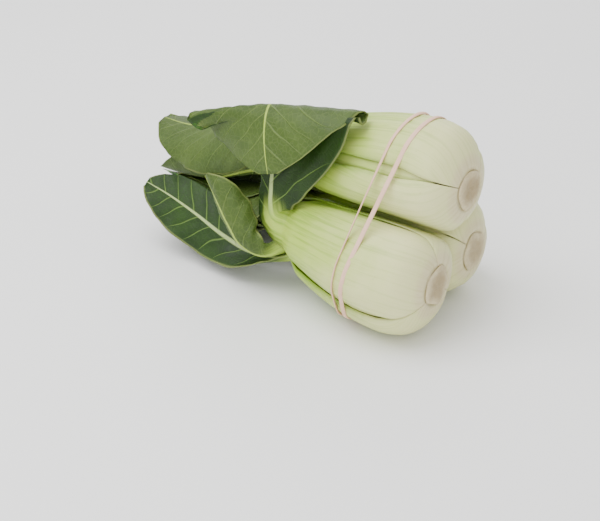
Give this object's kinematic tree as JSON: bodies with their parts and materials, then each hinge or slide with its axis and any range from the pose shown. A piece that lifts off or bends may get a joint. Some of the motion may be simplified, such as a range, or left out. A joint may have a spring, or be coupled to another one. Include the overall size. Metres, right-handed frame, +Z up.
{
  "type": "bok choy",
  "caption": "Small green-stem bok choy heads held in a bundle by a rubber band and lying on their side, with cupped pale stalks and dark leaves.",
  "frame": {"origin": "centre of the footprint of the whole bundle, at the height of the surface that it lies on", "axes": "+X from the leaf tips to the cut butts, +Y from the front head to the back head, +Z up"},
  "size_m": [0.2142, 0.1272, 0.1103],
  "materials": {
    "leaf": "matte, waxy plant tissue; pale stalk running into dark green blade",
    "cut_stem": "dry cut plant tissue",
    "rubber": "matte"
  },
  "bodies": {
    "root": {"head_a_core": "cut_stem", "head_a_leaf_1": "leaf", "head_a_leaf_2": "leaf", "head_a_leaf_3": "leaf", "head_a_leaf_4": "leaf", "head_a_leaf_5": "leaf", "head_a_leaf_6": "leaf", "head_a_leaf_7": "leaf", "head_a_leaf_8": "leaf", "head_b_core": "cut_stem", "head_b_leaf_1": "leaf", "head_b_leaf_2": "leaf", "head_b_leaf_3": "leaf", "head_b_leaf_4": "leaf", "head_b_leaf_5": "leaf", "head_b_leaf_6": "leaf", "head_b_leaf_7": "leaf", "head_b_leaf_8": "leaf", "head_c_core": "cut_stem", "head_c_leaf_1": "leaf", "head_c_leaf_2": "leaf", "head_c_leaf_3": "leaf", "head_c_leaf_4": "leaf", "head_c_leaf_5": "leaf", "head_c_leaf_6": "leaf", "head_c_leaf_7": "leaf", "head_c_leaf_8": "leaf", "rubber_band": "rubber"}
  },
  "joints": []
}
